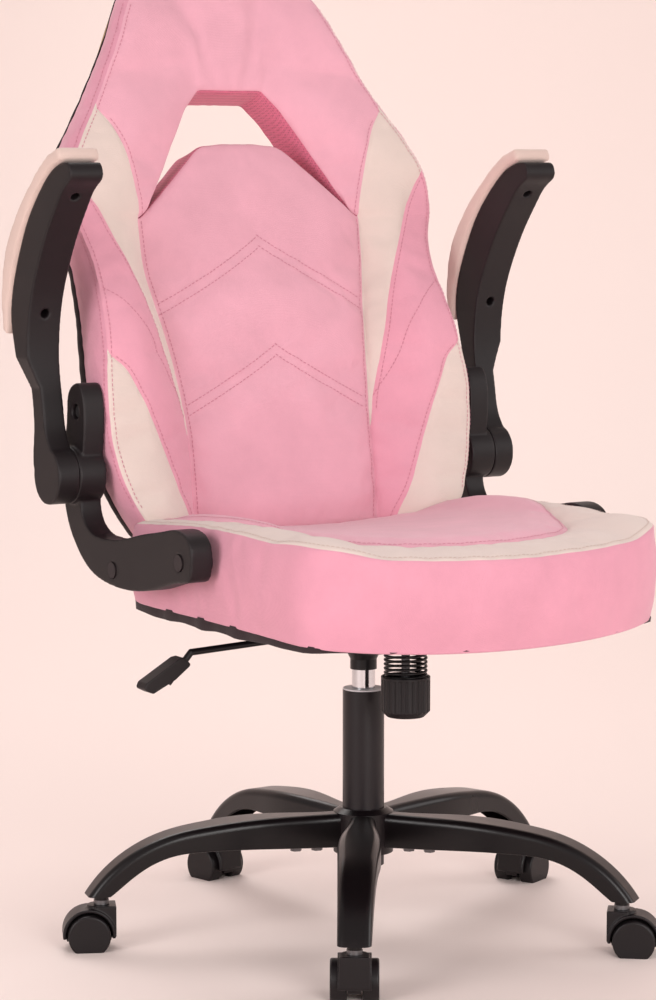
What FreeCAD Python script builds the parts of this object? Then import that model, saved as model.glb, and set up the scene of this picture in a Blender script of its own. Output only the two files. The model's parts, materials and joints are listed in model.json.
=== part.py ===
"""Racing-style office chair on a five-leg caster base, in millimetres.

+Z is up, the chair faces -Y, and the origin is on the gas lift's axis at floor level.
Each separate piece is one node. Right and left are the sitter's: right is -X.
"""
import FreeCAD, Part
import math
import os

V = FreeCAD.Vector
os.makedirs("parts", exist_ok=True)

# ---- fits -------------------------------------------------------------
RUN = 0.05            # radial clearance of a running fit
GAP = 0.3             # clearance between a soft piece and its neighbour

# ---- base -------------------------------------------------------------
LEG_COUNT = 5
LEG_AIM = 236.2       # heading of the first leg, degrees from +X
HUB_R = 36.0
HUB_BOTTOM = 104.0
HUB_TOP = 153.0
TONGUE_END = 98.0     # the hub's tongues reach this far into the legs
TONGUE_HALF = 13.0
TONGUE_Z = (116.0, 144.0)
LEG_BOLT_R = (58.0, 84.0)
LEG_SKIN = 2.5
STEM_CIRCLE = 322.0
STEM_R = 5.5
STEM_TOP = 83.0

# leg sections: distance out, centre height, dip in degrees, depth, width
LEG_SECTIONS = (
    (22, 132.5, 0, 41, 33), (70, 133, 0, 39, 34), (110, 134.5, 0, 37, 44), (150, 135, -1, 34, 50),
    (200, 132.5, -7, 29, 47.5), (240, 127, -18, 25, 44.6), (275, 113.5, -33, 24, 42),
    (304, 93.5, -52, 24.5, 40), (327, 70.5, -90, 26, 38.4),
)

# ---- casters ----------------------------------------------------------
WHEEL_R = 25.0
WHEEL_INNER = 8.6
WHEEL_OUTER = 27.5
TRAIL = 15.0
AXLE_R = 3.0
HOOD_R = 31.0
HOOD_HALF = 19.0
WEB_HALF = 8.0
CASTER_TOP = 59.0
CASTER_AIM = (58.0, 155.0, 103.0, 25.0, 321.0)   # the way each caster trails at rest

# ---- gas lift ---------------------------------------------------------
TUBE_R = 25.0
TUBE_BORE = 23.0
TUBE_BOTTOM = 88.0
TUBE_TOP = 301.0
ROD_R = 4.0
PRESS_R = 14.0
PRESS_BORE = 11.0
PRESS_BOTTOM = 110.0
PRESS_TOP = 362.0
PIN_TOP = 369.8

# ---- tilt mechanism ---------------------------------------------------
COLLAR_BOTTOM = 326.0
BOX_HALF = 70.0
BOX_FRONT = -125.0
BOX_REAR = 45.0
BOX_BOTTOM = 364.0
BOX_TOP = 390.0
BOX_WALL = 2.5
TILT_Y = 28.0
TILT_Z = 384.0
TILT_AXLE_R = 5.0
PLATE_Z = (396.0, 399.0)
PLATE_HALF = 95.0
PLATE_Y = (-130.0, 95.0)
PLATE_BOLTS = ((80, -115), (-80, -115), (80, 80), (-80, 80))
BOLT_Y = -93.0
BOLT_R = 5.0
KNOB_R = 29.0
KNOB_Z = (282.0, 330.0)
KNOB_FLOOR = 313.0
KNOB_RIBS = 24
SPRING_R = 24.2
WIRE_R = 1.6
SPRING_TURNS = 9

# ---- lever ------------------------------------------------------------
LEVER_R = 4.0
LEVER_SLOPE = 0.045
LEVER_Z0 = 375.4      # height of the rod where it crosses the column's axis

# ---- seat -------------------------------------------------------------
DUST_Z = (399.3, 400.8)
BOARD_Z = (401.2, 413.2)
SEAT_BOTTOM = 405.0
SEAT_FRONT_BOTTOM = 389.0
SIDE_PLATE_X = 226.0
SIDE_PLATE_T = 4.0
SEAT_BOLTS = ((92.0, 454.0), (-70.0, 480.0))
BACK_BOLT = (184.0, 634.0)

# ---- back: front and rear faces, as (y, z) at the bottom, bend and top
FRONT_LINE = ((171.0, 470.0), (204.0, 700.0), (371.0, 1165.0))
REAR_LINE = ((231.0, 470.0), (266.0, 700.0), (409.0, 1165.0))
COVER_T = 8.0
BACK_BOARD_T = 8.0
BOLSTER = 40.0
BACK_LEAN = math.radians(17.5)

# ---- arms -------------------------------------------------------------
BRACKET_X = (262.5, 290.0)
SPLIT_X = 298.0
ARM_X = (298.3, 341.0)
BARREL_OUT = 326.0
PIVOT = (190.0, 558.0)
BARREL_R = 34.0
PIVOT_R = 6.0
PAD_X = (292.0, 347.0)
ARM_HOLES = (((120.0, 889.0), (0.735, 0.678)), ((206.0, 752.0), (0.93, 0.37)))


# ---- helpers ----------------------------------------------------------
def save(name, shape):
    shape.exportStep("parts/" + name + ".step")


def cyl(radius, z0, z1, x=0.0, y=0.0):
    return Part.makeCylinder(radius, z1 - z0, V(x, y, z0))


def cyl_x(radius, x0, x1, y, z):
    return Part.makeCylinder(radius, abs(x1 - x0), V(x0, y, z), V(1 if x1 > x0 else -1, 0, 0))


def box(x, y, z):
    """A block between the two limits of each axis."""
    return Part.makeBox(x[1] - x[0], y[1] - y[0], z[1] - z[0], V(x[0], y[0], z[0]))


def turned(shape, degrees):
    copy = shape.copy()
    copy.rotate(V(0, 0, 0), V(0, 0, 1), degrees)
    return copy


def mirrored(shape):
    return shape.mirror(V(0, 0, 0), V(1, 0, 0))


def outline(points):
    """A closed wire from points; a point marked "arc" is the middle of a three-point arc."""
    edges = []
    here = V(*points[0])
    index = 1
    closed = list(points[1:]) + [points[0]]
    while index <= len(closed):
        step = closed[index - 1]
        if step[0] == "arc":
            after = V(*closed[index])
            edges.append(Part.Arc(here, V(*step[1]), after).toShape())
            index += 2
        else:
            after = V(*step)
            edges.append(Part.makeLine(here, after))
            index += 1
        here = after
    return Part.Wire(edges)


def smooth(points):
    """A closed wire through the points, curved all the way round."""
    curve = Part.BSplineCurve()
    curve.interpolate(Points=[V(*p) for p in points], PeriodicFlag=True)
    return Part.Wire([curve.toShape()])


def prism(wire, direction):
    return Part.Face(wire).extrude(V(*direction))


def group(shapes):
    return Part.makeCompound(shapes)


def biggest(shape):
    return max(shape.Solids, key=lambda solid: solid.Volume)


# ---- base -------------------------------------------------------------
def leg_section(reach, height, dip, depth, width, below, inset):
    """A rounded section across the leg, standing across its run."""
    half = width / 2.0 - inset
    top = depth / 2.0 - inset
    bottom = -depth / 2.0 - below if below else -depth / 2.0 + inset
    round_top = max(9.0 - inset, 2.0)
    round_low = 2.0
    corners = []
    for side, level, radius in ((1, bottom, round_low), (1, top, round_top), (-1, top, round_top),
                                (-1, bottom, round_low)):
        corners.append((side * half, level, radius))
    angle = math.radians(dip)

    def place(across, up):
        return V(reach - up * math.sin(angle), across, height + up * math.cos(angle))

    edges = []
    near = 1 - math.sqrt(0.5)
    arcs = []
    for across, up, radius in corners:
        sx = math.copysign(1, across)
        sz = math.copysign(1, up - (top + bottom) / 2)
        side_point = place(across, up - sz * radius)
        mid_point = place(across - sx * radius * near, up - sz * radius * near)
        flat_point = place(across - sx * radius, up)
        rising = (sx > 0) == (sz > 0)
        ends = (side_point, flat_point) if rising else (flat_point, side_point)
        arcs.append((ends[0], mid_point, ends[1]))
    for number, (start, middle, end) in enumerate(arcs):
        edges.append(Part.Arc(start, middle, end).toShape())
        edges.append(Part.makeLine(end, arcs[(number + 1) % 4][0]))
    return Part.Wire(edges)


def make_leg():
    """One pressed leg along +X: closed where it takes the hub's tongue, open below further out."""
    shell = Part.makeLoft([leg_section(*row, 0, 0) for row in LEG_SECTIONS], True, False)
    channel = Part.makeLoft([leg_section(*row, 12, LEG_SKIN) for row in LEG_SECTIONS[2:]], True, False)
    leg = shell.cut(channel)
    leg = leg.cut(box((0, TONGUE_END + 0.4), (-TONGUE_HALF - 0.2, TONGUE_HALF + 0.2),
                      (TONGUE_Z[0] - 0.3, TONGUE_Z[1] + 0.3)))
    leg = leg.cut(cyl(HUB_R + 0.1, 80, 180))
    for reach in LEG_BOLT_R:
        leg = leg.cut(cyl(4.0 + RUN, 100, TONGUE_Z[0] + 1, reach))
    leg = biggest(leg)
    socket = cyl(8.5, 65, 100, STEM_CIRCLE).common(shell)
    socket = socket.fuse(cyl(8.5, 64.5, 80, STEM_CIRCLE))
    saddle = box((STEM_CIRCLE - 9, STEM_CIRCLE + 9), (-17.5, 17.5), (74, 78)).common(shell)
    leg = leg.fuse([socket, saddle]).removeSplitter()
    return biggest(leg.cut(cyl(STEM_R + RUN, 60, STEM_TOP + 0.3, STEM_CIRCLE)))


def make_hub():
    hub = cyl(HUB_R, HUB_BOTTOM, HUB_TOP)
    hub = hub.fuse(Part.makeCone(HUB_R, TUBE_R + 3, 5, V(0, 0, HUB_TOP)))
    tongue = box((20, TONGUE_END), (-TONGUE_HALF, TONGUE_HALF), TONGUE_Z)
    for reach in LEG_BOLT_R:
        tongue = tongue.cut(cyl(4.0 + RUN, 100, 136, reach))
    for index in range(LEG_COUNT):
        hub = hub.fuse(turned(tongue, LEG_AIM - index * 360.0 / LEG_COUNT))
    return hub.cut(cyl(TUBE_R + RUN, 80, 180)).removeSplitter()


def make_base():
    leg = make_leg()
    save("base_hub", make_hub())
    bolts = []
    stems = []
    for reach in LEG_BOLT_R:
        head = Part.makePolygon([V(reach + 7 * math.cos(a * math.pi / 3), 7 * math.sin(a * math.pi / 3), 0)
                                 for a in range(7)])
        level = 112.9 if reach == LEG_BOLT_R[0] else 113.5
        head = prism(Part.Wire(head), (0, 0, 4.5))
        head.translate(V(0, 0, level - 5.0))
        bolts.append(head.fuse(cyl(4.0, level - 1, 135, reach)))
    stem = cyl(STEM_R, 30, STEM_TOP, STEM_CIRCLE).fuse(cyl(9.0, CASTER_TOP + GAP, 64.4, STEM_CIRCLE))
    all_bolts = []
    for index in range(LEG_COUNT):
        heading = LEG_AIM - index * 360.0 / LEG_COUNT
        save("leg_%d" % (index + 1), turned(leg, heading))
        all_bolts += [turned(bolt, heading) for bolt in bolts]
        stems.append(turned(stem, heading))
    save("leg_bolts", group(all_bolts))
    save("caster_stems", group(stems))


# ---- casters ----------------------------------------------------------
def make_casters():
    """Each twin-wheel caster is made about its stem and then set at its place on the circle."""
    axle_z = WHEEL_R
    hood = Part.makeCylinder(HOOD_R, 2 * HOOD_HALF, V(TRAIL, -HOOD_HALF, axle_z), V(0, 1, 0))
    hood = hood.cut(box((-60, 60), (-40, 40), (-20, axle_z - 4)))
    boss = box((-17, 8), (-17, 17), (axle_z - 2, CASTER_TOP))
    boss = boss.fuse(cyl(17, axle_z - 2, CASTER_TOP)).common(box((-17, 40), (-17, 17), (0, 80)))
    housing = hood.fuse(boss)
    for side in (-1, 1):
        start = WEB_HALF if side > 0 else -40
        room = Part.makeCylinder(WHEEL_R + 2.2, 40 - WEB_HALF, V(TRAIL, start, axle_z), V(0, 1, 0))
        housing = housing.cut(room)
    web = Part.makeCylinder(WHEEL_R + 2.4, 2 * WEB_HALF, V(TRAIL, -WEB_HALF, axle_z), V(0, 1, 0))
    web = web.cut(box((-60, 60), (-40, 40), (-20, axle_z - 9)))
    housing = housing.fuse(web).removeSplitter()
    housing = housing.cut(cyl(STEM_R + RUN, 29.5, 80))
    housing = housing.cut(Part.makeCylinder(AXLE_R + RUN, 60, V(TRAIL, -30, axle_z), V(0, 1, 0)))
    housing = biggest(housing)
    axle = Part.makeCylinder(AXLE_R, 46, V(TRAIL, -23, axle_z), V(0, 1, 0))
    wheels = []
    for side in (-1, 1):
        near = side * WHEEL_INNER
        run = side * (WHEEL_OUTER - WHEEL_INNER)
        wheel = Part.makeCylinder(WHEEL_R, abs(run), V(TRAIL, near, axle_z), V(0, side, 0))
        wheel = wheel.makeFillet(2.5, [edge for edge in wheel.Edges if edge.Closed])
        recess = Part.makeCylinder(WHEEL_R - 6, 9, V(TRAIL, near - side * 2, axle_z), V(0, side, 0))
        recess = recess.cut(Part.makeCylinder(7, 12, V(TRAIL, near - side * 3, axle_z), V(0, side, 0)))
        bore = Part.makeCylinder(AXLE_R + RUN, abs(run) - 3.5, V(TRAIL, near, axle_z), V(0, side, 0))
        wheels.append(wheel.cut(recess).cut(bore))
    for index in range(LEG_COUNT):
        heading = math.radians(LEG_AIM - index * 360.0 / LEG_COUNT)
        spot = V(STEM_CIRCLE * math.cos(heading), STEM_CIRCLE * math.sin(heading), 0)
        for name, shape in (("housing", housing), ("axle", axle), ("wheels", group(wheels))):
            placed = turned(shape, CASTER_AIM[index])
            placed.translate(spot)
            save("caster_%d_%s" % (index + 1, name), placed)


# ---- gas lift ---------------------------------------------------------
def make_lift():
    tube = cyl(TUBE_R, TUBE_BOTTOM, TUBE_TOP).cut(cyl(TUBE_BORE, TUBE_BOTTOM + 4, TUBE_TOP + 1))
    save("lift_tube", tube.cut(cyl(ROD_R + RUN, 80, 100)))
    bush = cyl(TUBE_BORE - RUN, TUBE_TOP - 22, TUBE_TOP).fuse(cyl(TUBE_R - 0.6, TUBE_TOP, TUBE_TOP + 1.6))
    save("tube_bush", bush.cut(cyl(PRESS_R + RUN, 250, 310)))
    save("thrust_bearing", cyl(13, TUBE_BOTTOM + 4, 98).cut(cyl(ROD_R + RUN, 80, 100)))
    save("piston_rod", cyl(ROD_R, 84, 240).fuse(cyl(PRESS_BORE - RUN, 236, 248)).removeSplitter())
    press = cyl(PRESS_R, PRESS_BOTTOM, PRESS_TOP)
    press = press.makeFillet(1.5, [edge for edge in press.Edges if edge.Closed])
    press = press.cut(cyl(PRESS_BORE, PRESS_BOTTOM + 4, PRESS_TOP - 12))
    press = press.cut(cyl(ROD_R + RUN, 100, PRESS_BOTTOM + 5))
    save("pressure_tube", press.cut(cyl(ROD_R + RUN, PRESS_TOP - 13, PRESS_TOP + 1)))
    pin = cyl(ROD_R, PRESS_TOP - 6, PIN_TOP)
    save("release_pin", pin.makeChamfer(0.8, [edge for edge in pin.Edges if edge.BoundBox.ZMin > PIN_TOP - 1]))


# ---- tilt mechanism ---------------------------------------------------
def make_spring():
    bottom = KNOB_FLOOR + 2.4 + WIRE_R
    height = BOX_BOTTOM - WIRE_R - 0.3 - bottom
    helix = Part.makeHelix(height / SPRING_TURNS, height, SPRING_R)
    profile = Part.Wire([Part.Circle(V(SPRING_R, 0, 0), V(0, 1, 0), WIRE_R).toShape()])
    coil = Part.Wire(helix).makePipeShell([profile], True, True)
    coil.translate(V(0, BOLT_Y, bottom))
    return coil


def make_knob():
    knob = cyl(KNOB_R, *KNOB_Z, 0, BOLT_Y)
    knob = knob.makeChamfer(7, [edge for edge in knob.Edges if edge.BoundBox.ZMax < KNOB_Z[0] + 1])
    for index in range(KNOB_RIBS):
        angle = 2 * math.pi * index / KNOB_RIBS
        knob = knob.cut(cyl(1.5, KNOB_Z[0] - 1, KNOB_Z[1] - 3,
                            (KNOB_R + 0.2) * math.cos(angle), BOLT_Y + (KNOB_R + 0.2) * math.sin(angle)))
    knob = knob.cut(cyl(26.6, KNOB_FLOOR, 340, 0, BOLT_Y))
    return knob.cut(cyl(BOLT_R + RUN, 287, 320, 0, BOLT_Y))


def make_mechanism():
    housing = box((-BOX_HALF, BOX_HALF), (BOX_FRONT, BOX_REAR), (BOX_BOTTOM, BOX_TOP))
    housing = housing.makeFillet(10, [edge for edge in housing.Edges if abs(edge.BoundBox.ZLength - 26) < 0.1])
    inner = box((-BOX_HALF + BOX_WALL, BOX_HALF - BOX_WALL), (BOX_FRONT + BOX_WALL, BOX_REAR - BOX_WALL),
                (BOX_BOTTOM + BOX_WALL, BOX_TOP + 1))
    inner = inner.makeFillet(7.5, [edge for edge in inner.Edges if abs(edge.BoundBox.ZLength - 24.5) < 0.1])
    housing = housing.cut(inner)
    housing = housing.cut(cyl(18.5, BOX_BOTTOM - 1, BOX_BOTTOM + 5))
    housing = housing.cut(cyl(BOLT_R + 2, BOX_BOTTOM - 1, BOX_BOTTOM + 5, 0, BOLT_Y))
    housing = housing.cut(cyl_x(TILT_AXLE_R + RUN, -90, 90, TILT_Y, TILT_Z))
    lever_hole = cyl_x(LEVER_R + 2.2, -BOX_HALF - 2, -BOX_HALF + 8, 0, LEVER_Z0 - LEVER_SLOPE * BOX_HALF)
    save("mechanism_housing", housing.cut(lever_hole))

    socket = cyl(16, COLLAR_BOTTOM, BOX_BOTTOM).fuse(Part.makeCone(16, 20, 8, V(0, 0, 338)))
    socket = socket.fuse(cyl(20, 346, BOX_BOTTOM))
    save("taper_socket", socket.cut(cyl(PRESS_R + RUN, 320, 370)).removeSplitter())
    save("tilt_axle", cyl_x(TILT_AXLE_R, -80, 80, TILT_Y, TILT_Z))
    save("tilt_spring", make_spring())

    save("tension_bolt", cyl(BOLT_R, 290, 401, 0, BOLT_Y).fuse(cyl(9, 400.6, 406.6, 0, BOLT_Y)))
    washer = cyl(25.8, KNOB_FLOOR, KNOB_FLOOR + 2.2, 0, BOLT_Y)
    save("spring_washer", washer.cut(cyl(BOLT_R + RUN, 300, 330, 0, BOLT_Y)))
    save("tension_knob", make_knob())


def lever_point(x):
    return V(x, 0, LEVER_Z0 + LEVER_SLOPE * x)


def make_lever():
    save("lock_bar", box((-52, -34), (-14, 14), (380, 382.5)))
    inner = lever_point(16)
    bend = lever_point(-236)
    end = V(-252, 0, 347)
    run = Part.makeCylinder(LEVER_R, (bend - inner).Length, inner, bend - inner)
    knee = Part.makeSphere(LEVER_R, bend)
    tail_end = end + (end - bend) * 0.9
    tail = Part.makeCylinder(LEVER_R, (tail_end - bend).Length, bend, tail_end - bend)
    rod = run.fuse([knee, tail]).removeSplitter()
    save("lever_rod", rod)
    sides = [(-241, 352), (-250, 361), (-257, 360), (-300, 335), (-303, 328), (-291, 322), (-262, 336)]
    paddle = prism(Part.makePolygon([V(x, -11, z) for x, z in sides] + [V(-241, -11, 352)]), (0, 22, 0))
    paddle = paddle.makeFillet(3, [edge for edge in paddle.Edges if edge.BoundBox.YLength > 20])
    save("lever_paddle", biggest(paddle.cut(rod)))


# ---- seat -------------------------------------------------------------
def seat_outline(inset, z):
    """The seat's plan: a bowed front, nearly straight sides and round rear corners."""
    right = [(172, -296, 0), ("arc", (220, -256, 0)), (243, -190, 0), ("arc", (250, -40, 0)), (241, 115, 0),
             ("arc", (222, 166, 0)), (165, 188, 0)]
    left = []
    for step in reversed(right):
        if step[0] == "arc":
            left.append(("arc", (-step[1][0], step[1][1], 0)))
        else:
            left.append((-step[0], step[1], 0))
    wire = outline(right + left + [("arc", (0, -337, 0))])
    if inset:
        wire = wire.makeOffset2D(-inset)
    wire.translate(V(0, 0, z))
    return wire


def side_plate(side):
    """Steel angle that stands on the seat board inside the foam and takes the bracket's bolts."""
    x0 = side * SIDE_PLATE_X
    x1 = side * (SIDE_PLATE_X + SIDE_PLATE_T)
    upright = box((min(x0, x1), max(x0, x1)), (-105, 125), (BOARD_Z[1], 500))
    foot_in = side * (SIDE_PLATE_X - 30)
    foot = box((min(foot_in, x1), max(foot_in, x1)), (-105, 125), (BOARD_Z[1], BOARD_Z[1] + SIDE_PLATE_T))
    return upright.fuse(foot).removeSplitter()


def back_plate(side):
    """Steel angle on the back board inside the wing, for the bracket's upper bolt."""
    x0 = side * (SIDE_PLATE_X + 6)
    x1 = side * (SIDE_PLATE_X + 6 + SIDE_PLATE_T)
    points = [(174, 590), (237, 590), (245, 676), (182, 676)]
    wire = Part.makePolygon([V(x0, y, z) for y, z in points + points[:1]])
    plate = prism(wire, (x1 - x0, 0, 0))
    return plate.cut(back_slab(rear_shift(COVER_T + BACK_BOARD_T + 0.3), shifted(REAR_LINE, 60)))


def make_seat(back_space):
    plate = box((-PLATE_HALF, PLATE_HALF), PLATE_Y, PLATE_Z)
    plate = plate.makeFillet(12, [edge for edge in plate.Edges if abs(edge.BoundBox.ZLength - 3) < 0.1])
    for side in (-1, 1):
        near = side * (BOX_HALF + 3.3)
        far = side * (BOX_HALF + 6.3)
        ear = box((min(near, far), max(near, far)), (TILT_Y - 12, TILT_Y + 12), (TILT_Z, PLATE_Z[0]))
        ear = ear.fuse(cyl_x(12, min(near, far), max(near, far), TILT_Y, TILT_Z))
        plate = plate.fuse(ear.cut(cyl_x(TILT_AXLE_R + RUN, -90, 90, TILT_Y, TILT_Z)))
    plate = plate.cut(box((-7.5, 7.5), (BOLT_Y - 12, BOLT_Y + 12), (390, 402)))
    bolts = []
    holes = []
    for x, y in PLATE_BOLTS:
        head = cyl(7, PLATE_Z[0] - 5, PLATE_Z[0], x, y)
        bolts.append(head.fuse(cyl(4, PLATE_Z[0] - 1, BOARD_Z[1] - 1, x, y)))
        holes.append(cyl(4 + RUN, 380, BOARD_Z[1] - 0.5, x, y))
    head_room = cyl(16, 390, BOARD_Z[1] + 1, 0, BOLT_Y)
    save("top_plate", plate.cut(holes).removeSplitter())
    save("plate_bolts", group(bolts))

    dust = prism(seat_outline(14, DUST_Z[0]), (0, 0, DUST_Z[1] - DUST_Z[0]))
    save("dust_cover", dust.cut(holes).cut(head_room))
    board = prism(seat_outline(14, BOARD_Z[0]), (0, 0, BOARD_Z[1] - BOARD_Z[0]))
    save("seat_board", board.cut(holes).cut(head_room))

    profile = outline([(0, -345, SEAT_FRONT_BOTTOM), (0, -345, 486), ("arc", (0, -325, 507)), (0, -265, 515),
                       ("arc", (0, -60, 519)), (0, 195, 506), (0, 195, SEAT_BOTTOM), (0, -240, SEAT_BOTTOM)])
    profile.translate(V(-300, 0, 0))
    cushion = prism(seat_outline(0, 380), (0, 0, 160)).common(prism(profile, (600, 0, 0)))
    cushion = cushion.cut(prism(seat_outline(13.5, 380), (0, 0, BOARD_Z[1] + GAP - 380)))
    cushion = cushion.cut(back_space)
    for side in (-1, 1):
        x0 = side * (SIDE_PLATE_X - GAP)
        x1 = side * (SIDE_PLATE_X + SIDE_PLATE_T + GAP)
        cushion = cushion.cut(box((min(x0, x1), max(x0, x1)), (-105.3, 125.3), (400, 500.3)))
        foot = side * (SIDE_PLATE_X - 30.3)
        cushion = cushion.cut(box((min(foot, x1), max(foot, x1)), (-105.3, 125.3), (400, 417.5)))
        for y, z in SEAT_BOLTS:
            cushion = cushion.cut(cyl_x(4.3, side * 215, side * 260, y, z))
    save("seat_cushion", biggest(cushion))


# ---- back -------------------------------------------------------------
def shifted(line, dy):
    return tuple((y + dy, z) for y, z in line)


def rear_shift(depth):
    return shifted(REAR_LINE, -depth)


def back_slab(front, rear):
    """A bent slab across the chair between a front and a rear line."""
    points = list(front) + list(reversed(rear))
    wire = Part.makePolygon([V(-300, y, z) for y, z in points + points[:1]])
    return prism(wire, (600, 0, 0))


def back_outline(inset):
    """The back seen from the front: wings at the elbows, a waist, shoulders and a narrowing head."""
    half = [(205, 478), (236, 536), (253, 590), (261, 650), (258, 720), (247, 790), (249, 836), (261, 888),
            (239, 958), (211, 1003), (179, 1062), (151, 1115), (126, 1149), (90, 1163)]
    half = [(x * (1 - inset / 250.0), 820 + (z - 820) * (1 - inset / 345.0)) for x, z in half]
    points = [(x, 0, z) for x, z in half] + [(-x, 0, z) for x, z in reversed(half)]
    curve = Part.BSplineCurve()
    curve.interpolate([V(*p) for p in points])
    return Part.Wire([curve.toShape(), Part.makeLine(V(*points[-1]), V(*points[0]))])


def opening_outline(grow):
    """The arched slot under the head: a roof above the top of the centre panel."""
    half = [(152, 860), (66, 996), (46, 1018)]
    low = [(24, 955), (56, 950), (110, 902)]
    points = [(x, z) for x, z in half] + [(-x, z) for x, z in reversed(half)]
    points += [(-x, z) for x, z in reversed(low)] + [(x, z) for x, z in low]
    wire = Part.makePolygon([V(x, 0, z) for x, z in points + points[:1]])
    if grow:
        wire = wire.makeOffset2D(grow)
    return wire


def through_back(wire, z_mid):
    """A prism through the back, square to its upper face."""
    drop = math.tan(BACK_LEAN)
    front_y = 204 + (z_mid - 700) * 0.359
    tool = prism(wire, (0, 200, -200 * drop))
    tool.translate(V(0, front_y - 60, 60 * drop))
    return tool


def make_back():
    whole = prism(back_outline(0), (0, 500, 0))
    inner = prism(back_outline(16), (0, 500, 0))
    slot = through_back(opening_outline(0), 960)
    board_slot = through_back(opening_outline(7), 960)

    cushion = back_slab(FRONT_LINE, rear_shift(COVER_T + BACK_BOARD_T + 0.6))
    wedges = []
    for side in (-1, 1):
        for (y0, z0), (y1, z1) in zip(FRONT_LINE, FRONT_LINE[1:]):
            corner = [(side * 140, y0 + 1), (side * 215, y0 - BOLSTER), (side * 262, y0 - BOLSTER),
                      (side * 262, y0 + 1)]
            wire = Part.makePolygon([V(x, y, z0) for x, y in corner + corner[:1]])
            wedges.append(prism(wire, (0, y1 - y0, z1 - z0)))
    cushion = cushion.fuse(wedges).common(whole)
    soft = cushion.cut(slot)
    for side in (-1, 1):
        x0 = side * (SIDE_PLATE_X + 6 - GAP)
        x1 = side * (SIDE_PLATE_X + 6 + SIDE_PLATE_T + GAP)
        soft = soft.cut(box((min(x0, x1), max(x0, x1)), (173.7, 270), (589.7, 676.3)))
        soft = soft.cut(cyl_x(4.3, side * 225, side * 270, *BACK_BOLT))
    save("back_cushion", biggest(soft.removeSplitter()))
    board = back_slab(rear_shift(COVER_T + BACK_BOARD_T + 0.3), rear_shift(COVER_T + 0.3))
    save("back_board", board.common(inner).cut(board_slot))
    cover = back_slab(rear_shift(COVER_T), REAR_LINE).common(prism(back_outline(2), (0, 500, 0)))
    save("rear_cover", cover.cut(slot))
    space = back_slab(shifted(FRONT_LINE, -GAP), shifted(REAR_LINE, 40))
    return space.fuse([wedge.translated(V(0, -GAP, -GAP)) for wedge in wedges])


# ---- arms -------------------------------------------------------------
def bracket_outline(x):
    points = [(183, 668), (203, 655), (208, 620), (222, 575), (214, 519), (206, 500), (186, 474), (152, 449),
              (99, 436), (43, 435), (-15, 444), (-72, 457), (-94, 463), (-99, 480), (-96, 503), (-80, 514),
              (-31, 512), (21, 503), (79, 491), (118, 489), (150, 495), (168, 512), (172, 540), (163, 600),
              (162, 640), (168, 660)]
    return smooth([(x, y, z) for y, z in points])


def arm_outline(x):
    points = [(100, 929), (140, 919), (178, 889), (203, 862), (222, 832), (238, 800), (248, 772), (251, 742),
              (243, 708), (232, 670), (224, 600), (221, 560), (159, 560), (186, 600), (198, 640), (206, 680),
              (207, 715), (203, 744), (194, 775), (178, 808), (155, 845), (128, 879), (104, 902), (90, 914)]
    return smooth([(x, y, z) for y, z in points])


def pad_outline(x):
    points = [(104, 932), (112, 947), (140, 938), (166, 922), (190, 902), (217, 878), (240, 850), (256, 825),
              (265, 795), (267, 760), (264, 728), (252, 722), (251.6, 744), (248.8, 773), (238.8, 801),
              (222.9, 832.6), (204, 862.8), (179, 890), (141, 919.8)]
    return Part.Wire([Part.makeLine(V(x, *a), V(x, *b)) for a, b in zip(points, points[1:] + points[:1])])


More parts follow.
